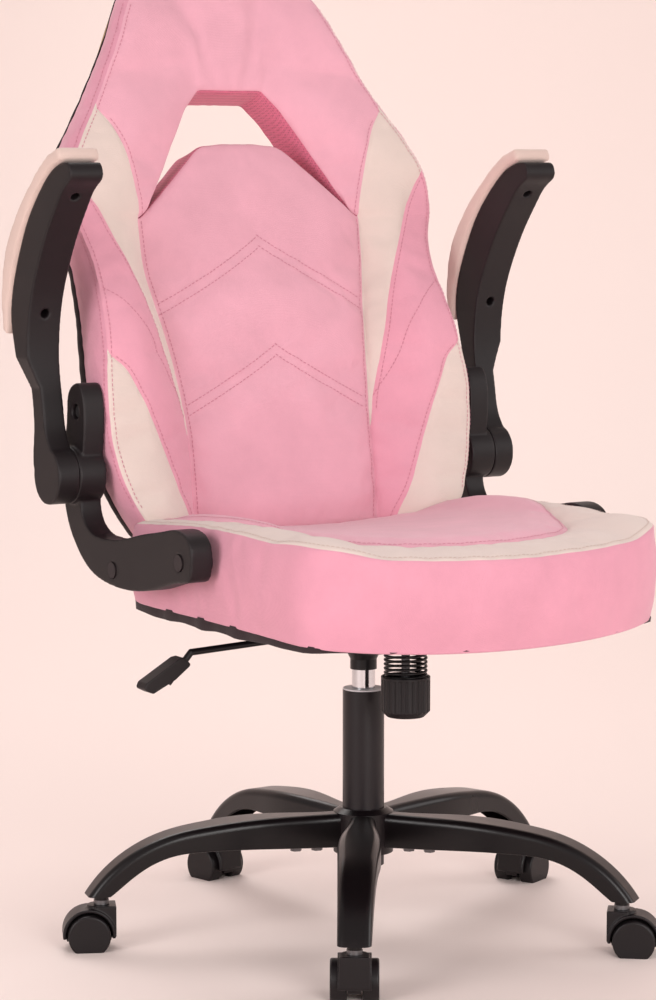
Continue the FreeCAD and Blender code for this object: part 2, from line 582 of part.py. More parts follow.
def make_arm(side, name):
    """Parts are made on the +X side and mirrored for the sitter's right."""
    def put(node, shape):
        save(node + "_" + name, mirrored(shape) if side < 0 else shape)

    bracket = prism(bracket_outline(BRACKET_X[0]), (BRACKET_X[1] - BRACKET_X[0], 0, 0))
    bracket = bracket.fuse(cyl_x(BARREL_R, BRACKET_X[0], SPLIT_X, *PIVOT))
    for y, z in SEAT_BOLTS:
        bracket = bracket.fuse(cyl_x(14, 252.5, BRACKET_X[0] + 1, y, z))
    for y, z in SEAT_BOLTS + (BACK_BOLT,):
        bracket = bracket.cut(cyl_x(4 + RUN, 240, 300, y, z)).cut(cyl_x(9.5, 281, 300, y, z))
    bracket = bracket.cut(cyl_x(PIVOT_R + RUN, 255, 300, *PIVOT)).cut(cyl_x(11, 255, 268, *PIVOT))
    put("arm_bracket", bracket.removeSplitter())
    put("arm_pivot_pin", cyl_x(PIVOT_R, 264, 320, *PIVOT).fuse(cyl_x(10.9, 263, 267.9, *PIVOT)))

    shell = prism(arm_outline(ARM_X[0]), (ARM_X[1] - ARM_X[0], 0, 0))
    taper = Part.makePolygon([V(BARREL_OUT, 100, 500), V(BARREL_OUT, 100, 660), V(360, 100, 745),
                              V(360, 100, 500), V(BARREL_OUT, 100, 500)])
    shell = shell.cut(prism(taper, (0, 200, 0)))
    shell = shell.fuse(cyl_x(BARREL_R, ARM_X[0], BARREL_OUT, *PIVOT))
    shell = shell.cut(cyl_x(PIVOT_R + RUN, 290, 320.5, *PIVOT))
    middle = (ARM_X[0] + ARM_X[1]) / 2
    pad = prism(pad_outline(PAD_X[0]), (PAD_X[1] - PAD_X[0], 0, 0))
    room = prism(arm_outline(PAD_X[0] - 1), (PAD_X[1] - PAD_X[0] + 2, 0, 0))
    room.translate(V(0, 0.3, 0.25))
    pad = biggest(pad.cut(room))
    screws = []
    for (y, z), (dy, dz) in ARM_HOLES:
        start = V(middle, y, z)
        way = V(0, dy, dz).normalize()
        reach = 1.0
        while shell.isInside(start + way * reach, 0.01, True) or reach < 20:
            reach += 1.0
        neck = reach - 14
        shell = shell.cut(Part.makeCylinder(5.5, neck + 30, start - way * 30, way))
        shell = shell.cut(Part.makeCylinder(2 + RUN, 60, start, way))
        pad = pad.cut(Part.makeCylinder(2 + RUN, reach + 9.5, start, way))
        screw = Part.makeCylinder(2, 22.5, start + way * neck, way)
        screws.append(screw.fuse(Part.makeCylinder(4, 3, start + way * (neck - 3), way)))
    put("arm_shell", biggest(shell.removeSplitter()))
    put("arm_pad", pad)
    put("pad_screws", group(screws))


def make_fasteners():
    bolts = []
    plugs = []
    for side in (-1, 1):
        for y, z in SEAT_BOLTS:
            bolts.append(cyl_x(4, side * 218, side * 282, y, z).fuse(cyl_x(7, side * 283.8, side * 281.1, y, z)))
            plugs.append(cyl_x(9.5 - RUN, side * 284, side * 291.2, y, z))
        bolts.append(cyl_x(4, side * 228, side * 276, *BACK_BOLT).fuse(
            cyl_x(7, side * 286, side * 281.1, *BACK_BOLT)).fuse(cyl_x(4, side * 270, side * 284, *BACK_BOLT)))
    save("bracket_bolts", group(bolts))
    save("bracket_plugs", group(plugs))
    plates = []
    for side in (-1, 1):
        seat_plate = side_plate(side)
        for y, z in SEAT_BOLTS:
            seat_plate = seat_plate.cut(cyl_x(4 + RUN, side * 210, side * 250, y, z))
        plates += [seat_plate, back_plate(side).cut(cyl_x(4 + RUN, side * 210, side * 250, *BACK_BOLT))]
    save("side_plates", group(plates))


make_base()
make_casters()
make_lift()
make_mechanism()
make_lever()
make_seat(make_back())
make_arm(-1, "right")
make_arm(1, "left")
make_fasteners()
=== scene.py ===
"""The look of a pink and cream gaming chair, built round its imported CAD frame. Metres, +Z up, facing -Y."""
import json
import math

import bmesh
import bpy
import numpy as np
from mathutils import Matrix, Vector


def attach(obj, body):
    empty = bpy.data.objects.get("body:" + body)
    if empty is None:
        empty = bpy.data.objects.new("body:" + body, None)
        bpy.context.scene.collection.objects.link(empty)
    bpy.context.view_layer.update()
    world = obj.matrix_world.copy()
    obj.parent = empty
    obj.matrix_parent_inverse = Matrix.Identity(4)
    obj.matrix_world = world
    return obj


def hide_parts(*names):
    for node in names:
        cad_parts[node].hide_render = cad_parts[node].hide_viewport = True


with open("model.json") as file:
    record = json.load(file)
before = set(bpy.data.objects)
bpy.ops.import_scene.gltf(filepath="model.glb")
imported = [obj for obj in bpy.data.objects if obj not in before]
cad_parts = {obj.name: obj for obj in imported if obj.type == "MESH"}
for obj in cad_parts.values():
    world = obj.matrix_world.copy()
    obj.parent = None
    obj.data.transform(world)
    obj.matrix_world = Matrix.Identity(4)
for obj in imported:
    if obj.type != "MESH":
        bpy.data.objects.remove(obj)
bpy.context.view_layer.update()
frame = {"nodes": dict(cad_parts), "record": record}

MM = 0.001
UP = Vector((0, 0, 1))

# The back's lowest and highest points, and the flat length of cloth between two rows of its mesh.
BACK_LOW = 0.476
BACK_TOP = 1.165
ROW = 0.0075

# The opening: its corners, the shoulder where its sides turn in, its flat top, and their half widths.
OPENING_LOW = 0.860
OPENING_SHOULDER = 0.996
OPENING_TOP = 1.018
CORNER_HALF = 0.152
SHOULDER_HALF = 0.066
HEAD_HALF = 0.046
# Its walls run back and down through the back at this slope.
OPENING_DROP = 0.315
# Over this height the head takes one even curve instead of a panel between wings.
HEAD_BLEND = (0.985, 1.04)
# Half the width of the centre panel where its arched top meets the opening's corners.
ARCH_HALF = 0.157

# Stitches: length, the gap to the next, half width and the height of the thread's middle.
STITCH = 0.0042
STITCH_GAP = 0.0016
THREAD_HALF = 0.0009
THREAD_CREST = 0.0004

# The camera stands this far round from the front and looks down this much, in degrees.
VIEW_TURN = 31.46
VIEW_DIP = 6.175


# ---- profiles ---------------------------------------------------------
def profile(*pairs):
    """A smooth function of height or length through (position, value) pairs, held flat past its ends."""
    xs = np.array([p[0] for p in pairs], float) * MM
    ys = np.array([p[1] for p in pairs], float) * MM
    slopes = np.gradient(ys, xs)
    flat = np.diff(ys) == 0
    slopes[:-1][flat] = 0
    slopes[1:][flat] = 0

    def value(at):
        at = min(max(at, xs[0]), xs[-1])
        k = min(max(int(np.searchsorted(xs, at)) - 1, 0), len(xs) - 2)
        h = xs[k + 1] - xs[k]
        t = (at - xs[k]) / h
        return float((2 * t ** 3 - 3 * t ** 2 + 1) * ys[k] + (t ** 3 - 2 * t ** 2 + t) * h * slopes[k]
                     + (3 * t ** 2 - 2 * t ** 3) * ys[k + 1] + (t ** 3 - t ** 2) * h * slopes[k + 1])
    return value


def step(low, high, at):
    t = min(max((at - low) / (high - low), 0.0), 1.0)
    return t * t * (3 - 2 * t)


# Heights in mm against half widths or depths in mm.
BACK_HALF = profile((476, 203), (504, 226), (536, 241), (585, 254), (650, 258), (712, 252), (762, 246),
                    (799, 243), (836, 248), (865, 257), (888, 260), (912, 257), (955, 235), (998, 207),
                    (1025, 191), (1054, 175), (1087, 158), (1112, 146), (1134, 132), (1150, 115), (1160, 92),
                    (1165, 66))
EDGE_DEPTH = profile((476, 132), (504, 127), (536, 137), (585, 149), (625, 155), (650, 158), (681, 165),
                     (735, 183), (762, 197), (799, 219), (836, 238), (888, 255), (955, 272), (1025, 298),
                     (1087, 315), (1129, 332), (1165, 349))
CROWN_DEPTH = profile((476, 173), (560, 186), (690, 204), (760, 223), (824, 246), (900, 276), (954, 298),
                      (1020, 320), (1090, 336), (1165, 352))
PANEL_HALF = profile((476, 131), (518, 131), (583, 131), (655, 136), (725, 145), (760, 151), (793, 157),
                     (860, 160))
PANEL_DEPTH = profile((476, 177), (518, 181), (583, 191), (655, 208), (725, 231), (760, 244), (793, 255),
                      (832, 263), (860, 268), (922, 285), (961, 297), (987, 306), (1018, 318))
STRIPE_OUTER = profile((600, 132), (640, 139), (680, 150), (726, 163), (764, 174), (805, 190), (843, 208),
                       (884, 228), (919, 256), (950, 300))
STRIPE_INNER = profile((860, 157), (885, 160), (909, 165), (948, 176), (976, 189), (998, 207))
DART = profile((634, 137), (680, 165), (739, 195), (765, 219), (783, 243))
WEDGE_INNER = profile((476, 143), (497, 150), (528, 164), (579, 183), (625, 201), (661, 218), (689, 234),
                      (706, 256))
SIDE_DEPTH = profile((476, 66), (650, 55), (700, 62), (830, 63), (955, 50), (1060, 38), (1165, 34))
COVER_DEPTH = profile((476, 22), (650, 26), (735, 22), (900, 15), (1000, 8), (1165, 6))


def opening_half(z):
    """Half width of the opening under its roof, at a height between its corners and its flat top."""
    if z < OPENING_SHOULDER:
        return CORNER_HALF - (z - OPENING_LOW) * 0.086 / 0.136
    return SHOULDER_HALF - (z - OPENING_SHOULDER) * 0.020 / 0.022


def panel_top(across):
    """Height of the centre panel's top edge at a fraction of its half width."""
    x = abs(across) * ARCH_HALF
    return float(np.interp(x, [0, 0.022, 0.056, 0.066, 0.111, ARCH_HALF],
                           [0.954, 0.954, 0.951, 0.943, 0.902, OPENING_LOW]))


def ring_inner(z):
    """Where the outer part of the back starts: at the panel's seam, the opening's edge or the head's middle."""
    if z <= OPENING_LOW:
        return PANEL_HALF(z)
    if z < OPENING_TOP:
        return opening_half(z)
    return HEAD_HALF


def back_depth(x, z):
    """How far back the upholstery's front surface lies."""
    x = abs(x)
    edge = BACK_HALF(z)
    head = CROWN_DEPTH(z) - (CROWN_DEPTH(z) - EDGE_DEPTH(z)) * min(x / edge, 1.0) ** 2
    seam = ring_inner(z) if z < OPENING_TOP else HEAD_HALF
    if x <= seam:
        half = PANEL_HALF(z)
        low = CROWN_DEPTH(z) + (PANEL_DEPTH(z) - CROWN_DEPTH(z)) * min(x / half, 1.0) ** 2.4
    else:
        t = min((x - seam) / max(edge - seam, 0.001), 1.0)
        lift = math.sin(math.pi / 2 * min(t / 0.62, 1.0))
        start = PANEL_DEPTH(z)
        low = start - (start - EDGE_DEPTH(z)) * lift
    mix = step(*HEAD_BLEND, z)
    return low * (1 - mix) + head * mix


def rear_depth(x, z):
    """How far back the rear cover's surface lies."""
    edge = EDGE_DEPTH(z) + SIDE_DEPTH(z) + COVER_DEPTH(z)
    share = min(abs(x) / BACK_HALF(z), 1.0)
    middle = max(edge, CROWN_DEPTH(z) + 0.052)
    return middle - (middle - edge) * share ** 3


# ---- mesh helpers -----------------------------------------------------
def spaced(count):
    """Fractions from 0 to 1 that crowd towards both ends, so that a seam's valley stays narrow."""
    return [0.5 - 0.5 * math.cos(math.pi * k / count) for k in range(count + 1)]


def new_object(name, bm, materials, levels=0):
    """A smooth-shaded object made from a bmesh, subdivided by a modifier when levels is given."""
    mesh = bpy.data.meshes.new(name)
    bm.normal_update()
    bm.to_mesh(mesh)
    bm.free()
    for polygon in mesh.polygons:
        polygon.use_smooth = True
    obj = bpy.data.objects.new(name, mesh)
    bpy.context.scene.collection.objects.link(obj)
    for material in materials:
        mesh.materials.append(material)
    if levels:
        subdivide(obj, levels)
    return obj


def subdivide(obj, levels):
    modifier = obj.modifiers.new("Subdivision", "SUBSURF")
    modifier.levels = levels
    modifier.render_levels = levels


def grid_faces(bm, rows, material=0, flip=False):
    """Fills the cells between rows of vertices, skipping corners that two columns share."""
    for low, high in zip(rows, rows[1:]):
        for k in range(len(low) - 1):
            corners = [low[k], low[k + 1], high[k + 1], high[k]]
            if flip:
                corners.reverse()
            unique = []
            for corner in corners:
                if corner not in unique:
                    unique.append(corner)
            if len(unique) > 2:
                face = bm.faces.new(unique)
                face.material_index = material


def boundary_loop(bm, start):
    """The open edge loop that runs through a vertex, in order."""
    loop = [start]
    edge = next(e for e in start.link_edges if e.is_boundary)
    here = edge.other_vert(start)
    while here != start and len(loop) < len(bm.verts):
        loop.append(here)
        edge = next(e for e in here.link_edges if e.is_boundary and e != edge)
        here = edge.other_vert(here)
    return loop


def skirt(bm, loop, depth_at, slope, bulge, count, material):
    """A band swept backwards from a closed loop, bulging outwards."""
    size = len(loop)
    centre = sum((v.co for v in loop), Vector()) / size
    ring = loop
    outward = []
    for k, vert in enumerate(loop):
        run = loop[(k + 1) % size].co - loop[k - 1].co
        side = Vector((run.z, 0, -run.x))
        if side.length < 1e-9:
            side = vert.co - centre
        side.normalize()
        if side.dot(Vector((vert.co.x - centre.x, 0, vert.co.z - centre.z))) < 0:
            side.negate()
        outward.append(side)
    for j in range(1, count + 1):
        t = j / count
        following = []
        for k, vert in enumerate(loop):
            depth = depth_at(vert.co) * t
            swell = bulge * math.sin(math.pi * t)
            place = vert.co + Vector((0, depth, -depth * slope)) + outward[k] * swell
            following.append(bm.verts.new(place))
        for k in range(size):
            face = bm.faces.new((ring[k], ring[(k + 1) % size], following[(k + 1) % size], following[k]))
            face.material_index = material
        ring = following


CLOTH_FRAMES = 18


def puff(obj, pins, pressure, cap, give=0.0):
    """Blows a sewn cover up as cloth with its seams pinned, then keeps the result as the mesh.

    Give is the share by which the cloth is larger than its pattern, and cap the furthest that it may move.
    """
    group = obj.vertex_groups.new(name="seams")
    for index, weight in pins.items():
        group.add([index], weight, "REPLACE")
    start = [v.co.copy() for v in obj.data.vertices]
    cloth = obj.modifiers.new("Cloth", "CLOTH")
    cloth.settings.quality = 6
    cloth.settings.mass = 0.25
    cloth.settings.tension_stiffness = 18
    cloth.settings.compression_stiffness = 18
    cloth.settings.shear_stiffness = 8
    cloth.settings.bending_stiffness = 0.6
    cloth.settings.air_damping = 4
    cloth.settings.shrink_min = -give
    cloth.settings.use_pressure = True
    cloth.settings.uniform_pressure_force = pressure
    cloth.settings.vertex_group_mass = "seams"
    cloth.settings.effector_weights.gravity = 0
    cloth.collision_settings.use_collision = False
    scene = bpy.context.scene
    for number in range(1, CLOTH_FRAMES + 1):
        scene.frame_set(number)
    graph = bpy.context.evaluated_depsgraph_get()
    moved = [v.co.copy() for v in obj.evaluated_get(graph).data.vertices]
    obj.modifiers.remove(cloth)
    for vert, before, after in zip(obj.data.vertices, start, moved):
        change = after - before
        if change.length > cap:
            change *= cap / change.length
        vert.co = before + change
    scene.frame_set(1)


# A stitch's cross sections, as shares of its length, of its half width in height, and of its half width.
STITCH_SECTIONS = ((-0.5, -0.25, 0.3), (-0.22, 0.45, 0.5), (0.22, 0.45, 0.5), (0.5, -0.25, 0.3))


def stitch_row(name, path, normal_at, material):
    """A row of short raised threads along a path."""
    spots = [Vector(p) for p in path]
    bm = bmesh.new()
    reach = 0.0
    travelled = 0.0
    for a, b in zip(spots, spots[1:]):
        run = b - a
        if run.length < 1e-6:
            continue
        ahead = run.normalized()
        while reach + STITCH <= travelled + run.length:
            at = a + ahead * (reach - travelled + STITCH / 2)
            up = normal_at(at).normalized()
            side = ahead.cross(up).normalized()
            ring = []
            for along, lift, wide in STITCH_SECTIONS:
                base = at + ahead * along * STITCH + up * lift * THREAD_HALF
                ring.append([bm.verts.new(base + side * wide * THREAD_HALF),
                             bm.verts.new(base + up * THREAD_CREST),
                             bm.verts.new(base - side * wide * THREAD_HALF)])
            for low, high in zip(ring, ring[1:]):
                for k in range(2):
                    bm.faces.new((low[k], low[k + 1], high[k + 1], high[k]))
            reach += STITCH + STITCH_GAP
        travelled += run.length
    return new_object(name, bm, [material])


# ---- materials --------------------------------------------------------
def srgb(red, green, blue):
    def linear(c):
        c /= 255.0
        return c / 12.92 if c <= 0.04045 else ((c + 0.055) / 1.055) ** 2.4
    return (linear(red), linear(green), linear(blue), 1.0)


class Nodes:
    """Short calls for building a material's node tree."""

    def __init__(self, name):
        self.material = bpy.data.materials.new(name)
        self.material.use_nodes = True
        self.tree = self.material.node_tree
        self.shader = self.tree.nodes["Principled BSDF"]
        self.place = self.add("ShaderNodeTexCoord").outputs["Object"]

    def add(self, kind, **values):
        node = self.tree.nodes.new(kind)
        for key, value in values.items():
            if key in node.inputs:
                node.inputs[key].default_value = value
            else:
                setattr(node, key, value)
        return node

    def link(self, source, target):
        self.tree.links.new(source, target)

    def noise(self, scale, detail=3.0, rough=0.5):
        node = self.add("ShaderNodeTexNoise", Scale=scale, Detail=detail, Roughness=rough)
        self.link(self.place, node.inputs["Vector"])
        return node.outputs["Fac"]

    def wave(self, scale, direction, distortion=0.0):
        node = self.add("ShaderNodeTexWave", Scale=scale, Distortion=distortion, bands_direction=direction)
        self.link(self.place, node.inputs["Vector"])
        return node.outputs["Fac"]

    def math(self, operation, first, second):
        node = self.add("ShaderNodeMath", operation=operation)
        for k, value in enumerate((first, second)):
            if isinstance(value, (int, float)):
                node.inputs[k].default_value = value
            else:
                self.link(value, node.inputs[k])
        return node.outputs[0]

    def ramp(self, source, *stops):
        node = self.add("ShaderNodeValToRGB")
        elements = node.color_ramp.elements
        while len(elements) < len(stops):
            elements.new(0.5)
        for element, (position, colour) in zip(elements, stops):
            element.position = position
            element.color = colour
        self.link(source, node.inputs["Fac"])
        return node.outputs["Color"]

    def bump(self, height, strength, distance):
        node = self.add("ShaderNodeBump", Strength=strength, Distance=distance)
        self.link(height, node.inputs["Height"])
        self.link(node.outputs["Normal"], self.shader.inputs["Normal"])

    def set(self, **values):
        for key, value in values.items():
            self.shader.inputs[key.replace("_", " ")].default_value = value


def shade(colour, factor):
    """A colour made lighter or darker, with its opacity kept."""
    return tuple(min(c * factor, 1.0) for c in colour[:3]) + (1.0,)


def fabric(name, colour, spread=0.07, sheen=0.25):
    """Finely woven upholstery: a tight plain weave, soft mottling and a little nap."""
    n = Nodes(name)
    weave = n.math("MULTIPLY", n.wave(420, "X"), n.wave(420, "Z"))
    weave = n.math("ADD", weave, n.math("MULTIPLY", n.wave(420, "Y"), 0.5))
    mottle = n.noise(14, 4.0, 0.6)
    fine = n.noise(900, 2.0, 0.7)
    mix = n.math("ADD", n.math("MULTIPLY", mottle, 0.7), n.math("MULTIPLY", fine, 0.3))
    n.link(n.ramp(mix, (0.3, shade(colour, 1 - spread)), (0.7, shade(colour, 1 + spread))),
           n.shader.inputs["Base Color"])
    rough = n.math("ADD", n.math("MULTIPLY", fine, 0.18), 0.74)
    n.link(rough, n.shader.inputs["Roughness"])
    wrinkle = n.math("MULTIPLY", n.noise(38, 4.0, 0.55), 3.0)
    n.bump(n.math("ADD", n.math("MULTIPLY", weave, 0.6), n.math("ADD", wrinkle, fine)), 0.28, 0.0009)
    n.set(Sheen_Weight=sheen, Sheen_Roughness=0.5, Specular_IOR_Level=0.22)
    return n.material


def mesh_cloth(name, colour):
    """Open spacer mesh: rows of small holes in a knitted face, with painted shade in the holes."""
    n = Nodes(name)
    holes = n.add("ShaderNodeTexVoronoi", Scale=330.0, Randomness=0.25)
    n.link(n.place, holes.inputs["Vector"])
    reach = holes.outputs["Distance"]
    # The colour darkened in the holes is painted shade.
    n.link(n.ramp(reach, (0.12, shade(colour, 0.55)), (0.34, shade(colour, 0.95)), (0.7, shade(colour, 1.15))),
           n.shader.inputs["Base Color"])
    n.link(n.math("ADD", n.math("MULTIPLY", n.noise(300), 0.2), 0.72), n.shader.inputs["Roughness"])
    n.bump(reach, 0.6, 0.001)
    n.set(Sheen_Weight=0.2, Specular_IOR_Level=0.2)
    return n.material


def thread(name, colour):
    """Twisted sewing thread."""
    n = Nodes(name)
    twist = n.wave(1400, "DIAGONAL")
    n.link(n.ramp(twist, (0.2, shade(colour, 0.85)), (0.8, shade(colour, 1.1))), n.shader.inputs["Base Color"])
    n.bump(twist, 0.4, 0.0002)
    n.set(Roughness=0.6, Sheen_Weight=0.2)
    return n.material


def moulded(name, colour, rough=0.5, grain=1.0):
    """Moulded nylon: a fine spark-eroded grain, with painted shade in its hollows and painted highlights on its
    edges.
    """
    n = Nodes(name)
    fine = n.noise(1500, 2.0, 0.6)
    broad = n.noise(9, 3.0, 0.5)
    painted_edge_light = n.add("ShaderNodeNewGeometry").outputs["Pointiness"]
    # Pointiness darkens hollows as painted shade and lightens edges as painted highlights.
    n.link(n.ramp(painted_edge_light, (0.44, shade(colour, 0.85)), (0.52, colour), (0.6, shade(colour, 1.9))),
           n.shader.inputs["Base Color"])
    n.link(n.math("ADD", n.math("MULTIPLY", broad, 0.16), rough - 0.06), n.shader.inputs["Roughness"])
    n.bump(fine, 0.22 * grain, 0.0004)
    n.set(Specular_IOR_Level=0.32)
    return n.material


def painted(name, colour, rough=0.38):
    """Powder coat over pressed steel: slight orange peel, with painted shade in its hollows and painted
    highlights on its edges.
    """
    n = Nodes(name)
    peel = n.noise(420, 2.0, 0.5)
    broad = n.noise(7, 3.0, 0.55)
    painted_edge_light = n.add("ShaderNodeNewGeometry").outputs["Pointiness"]
    # Pointiness darkens hollows as painted shade and lightens edges as painted highlights.
    n.link(n.ramp(painted_edge_light, (0.46, shade(colour, 0.85)), (0.53, colour), (0.62, shade(colour, 2.2))),
           n.shader.inputs["Base Color"])
    n.link(n.math("ADD", n.math("MULTIPLY", broad, 0.14), rough - 0.07), n.shader.inputs["Roughness"])
    n.bump(peel, 0.16, 0.0005)
    n.set(Specular_IOR_Level=0.3, Coat_Weight=0.05, Coat_Roughness=0.25)
    return n.material


def metal(name, colour, rough, brushed=0.0):
    """Plated steel with a fine grain, and streaks where it is brushed."""
    n = Nodes(name)
    streak = n.wave(900, "Z", 3.0)
    fine = n.noise(500, 3.0, 0.6)
    mix = n.math("ADD", n.math("MULTIPLY", streak, brushed), n.math("MULTIPLY", fine, 1 - brushed))
    n.link(n.ramp(mix, (0.2, shade(colour, 0.9)), (0.8, shade(colour, 1.08))), n.shader.inputs["Base Color"])
    n.link(n.math("ADD", n.math("MULTIPLY", mix, 0.12), rough), n.shader.inputs["Roughness"])
    n.bump(mix, 0.08, 0.0002)
    n.set(Metallic=1.0)
    return n.material


def plywood(name, colour):
    """Bare board, which the covers hide."""
    n = Nodes(name)
    grain = n.wave(30, "X", 6.0)
    n.link(n.ramp(grain, (0.2, shade(colour, 0.8)), (0.8, colour)), n.shader.inputs["Base Color"])
    n.bump(n.noise(200), 0.3, 0.0005)
    n.set(Roughness=0.75)
    return n.material


def plain_stage(name, colour, rough):
    n = Nodes(name)
    n.set(Base_Color=colour, Roughness=rough, Specular_IOR_Level=0.15)
    return n.material


LOOK = {
    "pink": fabric("pink fabric", srgb(226, 167, 183)),
    # The wing and side copies of the pink fabric are darker only as painted shade.
    "wing": fabric("pink fabric with painted wing shade", srgb(224, 158, 176)),
    "side": fabric("pink fabric with painted side shade", srgb(217, 151, 170)),
    "cream": fabric("cream fabric", srgb(220, 203, 195), 0.04),
    # The pad copy of the cream fabric is darker only as painted shade.
    "pad": fabric("cream fabric with painted pad shade", srgb(216, 192, 183), 0.04),
    "mesh": mesh_cloth("pink spacer mesh", srgb(206, 112, 138)),
    "black_cloth": fabric("black backing cloth", srgb(48, 36, 39), 0.15, 0.1),
    "pink_thread": thread("pink thread", srgb(206, 128, 148)),
    "cream_thread": thread("cream thread", srgb(206, 178, 168)),
    "arm": moulded("black nylon", srgb(26, 20, 22), 0.46),
    "wheel": moulded("caster nylon", srgb(22, 17, 19), 0.38, 0.6),
    "base": painted("black powder coat", srgb(15, 10, 12), 0.3),
    "mechanism": painted("black mechanism paint", srgb(17, 13, 15), 0.36),
    "steel": metal("zinc steel", srgb(120, 118, 120), 0.35, 0.5),
    "chrome": metal("chrome", srgb(214, 214, 217), 0.08, 0.0),
    "bush": moulded("grey acetal", srgb(176, 172, 174), 0.42, 0.5),
    "board": plywood("plywood", srgb(180, 146, 108)),
}

SLOT_LOOK = {
    "base_black": "base", "mechanism_black": "mechanism", "steel_dark": "steel", "chrome": "chrome",
    "bush_grey": "bush", "arm_black": "arm", "wheel_black": "wheel", "fabric_pink": "pink",
    "fabric_cream": "cream", "fabric_black": "black_cloth", "board": "board",
}


def dress_cad():
    """Gives each CAD node that stays in view the material of its slot."""
    slots = {part["node"]: part["material_slot"] for part in frame["record"]["subparts"]}
    for node, obj in frame["nodes"].items():
        material = LOOK[SLOT_LOOK[slots[node]]]
        for holder in obj.material_slots:
            holder.material = material
        if not obj.material_slots:
            obj.data.materials.append(material)


def rounded_copy(node, suffix, look, voxel, passes):
    """A copy of a CAD piece with its edges rounded: remeshed at a voxel size in mm, then smoothed."""
    source = frame["nodes"][node]
    obj = bpy.data.objects.new(node + suffix, source.data.copy())
    bpy.context.scene.collection.objects.link(obj)
    obj.data.materials.clear()
    obj.data.materials.append(LOOK[look])
    remesh = obj.modifiers.new("Remesh", "REMESH")
    remesh.mode = "VOXEL"
    remesh.voxel_size = voxel * MM
    smooth = obj.modifiers.new("Smooth", "SMOOTH")
    smooth.iterations = passes
    graph = bpy.context.evaluated_depsgraph_get()
    mesh = bpy.data.meshes.new_from_object(obj.evaluated_get(graph))
    obj.modifiers.clear()
    obj.data = mesh
    for polygon in mesh.polygons:
        polygon.use_smooth = True
    return obj


def soften(node, look, body, voxel, passes):
    """Gives a hard CAD piece the small edge radii of a moulding."""
    obj = rounded_copy(node, "_moulded", look, voxel, passes)
    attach(obj, body)
    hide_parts(node)


# ---- back -------------------------------------------------------------
BACK_LOOKS = ["pink", "cream", "wing", "mesh", "side"]
PINK, CREAM, WING, MESH, SIDE = range(5)


def ring_rows():
    """Heights of the outer part's rows, with one on each corner of the opening."""
    stops = [BACK_LOW, OPENING_LOW, OPENING_SHOULDER, OPENING_TOP, BACK_TOP]
    rows = []
    for low, high in zip(stops, stops[1:]):
        count = max(int(round((high - low) / ROW)), 1)
        rows += [low + (high - low) * k / count for k in range(count)]
    return rows + [stops[-1]]


def ring_breaks(z):
    """The seams that a row crosses, from the inside out: opening, stripe, stripe, wedge and edge."""
    inner = ring_inner(z)
    edge = BACK_HALF(z)
    if z >= 0.998:
        return [inner, edge, edge, edge, edge]
    stripe_in = max(inner, STRIPE_INNER(z)) if z > OPENING_LOW else inner
    stripe_out = min(max(STRIPE_OUTER(z), stripe_in), edge) if z > 0.6 else stripe_in
    if z > 0.6 and z <= OPENING_LOW:
        stripe_out = max(stripe_out, inner)
    wedge = min(WEDGE_INNER(z), edge) if z < 0.706 else edge
    return [inner, min(stripe_in, edge), stripe_out, max(wedge, stripe_out), edge]


STRIPS = ((10, PINK), (8, CREAM), (12, WING), (9, CREAM))


def back_ring(bm):
    """The front cover's outer part: two halves round the centre panel and the opening."""
    for side in (-1, 1):
        rows = []
        for z in ring_rows():
            breaks = ring_breaks(z)
            row = []
            for (count, _), x0, x1 in zip(STRIPS, breaks, breaks[1:]):
                for k, t in enumerate(spaced(count)):
                    if k == 0 and row:
                        continue
                    x = x0 + (x1 - x0) * t
                    place = Vector((side * x, back_depth(x, z), z))
                    if row and (place - row[-1].co).length < 0.0002:
                        row.append(row[-1])
                        continue
                    row.append(bm.verts.new(place))
            rows.append(row)
        start = 0
        for count, material in STRIPS:
            part = [row[start:start + count + 1] for row in rows]
            grid_faces(bm, part, material, side < 0)
            start += count


def panel_grid(bm, depth_at, columns=44):
    """The centre panel below the opening, from the seat up to its arched top edge."""
    grid = []
    rows = int(round((OPENING_LOW - BACK_LOW) / ROW))
    for k in range(rows + 1):
        row = []
        for j in range(columns + 1):
            across = -math.cos(math.pi * j / columns)
            across = 0.4 * across + 0.6 * (2 * j / columns - 1)
            z = BACK_LOW + (panel_top(across) - BACK_LOW) * k / rows
            x = across * PANEL_HALF(min(z, OPENING_LOW))
            row.append(bm.verts.new(Vector((x, depth_at(x, z), z))))
        grid.append(row)
    return grid


def head_grid(bm, depth_at, columns=12):
    """The middle of the head, over the opening's flat top."""
    grid = []
    for z in [z for z in ring_rows() if z >= OPENING_TOP - 1e-6]:
        row = []
        for j in range(columns + 1):
            x = HEAD_HALF * (2 * j / columns - 1)
            row.append(bm.verts.new(Vector((x, depth_at(x, z), z))))
        grid.append(row)
    return grid


def join_near(bm, distance=0.0006):
    bmesh.ops.remove_doubles(bm, verts=bm.verts, dist=distance)
    bmesh.ops.dissolve_degenerate(bm, dist=1e-5, edges=bm.edges)


# Chevrons across the centre panel: the height of the point and of the ends, and the half width. Each is
# sewn twice, the second row this far below the first.
CHEVRONS = ((0.838, 0.756, 0.147), (0.705, 0.634, 0.127))
CHEVRON_ROWS = (0.0, 0.013)


def chevron_height(chevron, gap, x):
    apex, end, half = chevron
    return apex - gap - (apex - end) * min(abs(x) / half, 1.0) ** 0.92


def chevron_distance(x, z):
    """How far a point is from the nearest chevron seam, in height."""
    return min(abs(z - chevron_height(chevron, gap, x)) for chevron in CHEVRONS for gap in CHEVRON_ROWS)


def lowest_edge_vertex(bm):
    return min((v for v in bm.verts if v.is_boundary), key=lambda v: v.co.z + abs(v.co.x) * 0.01)


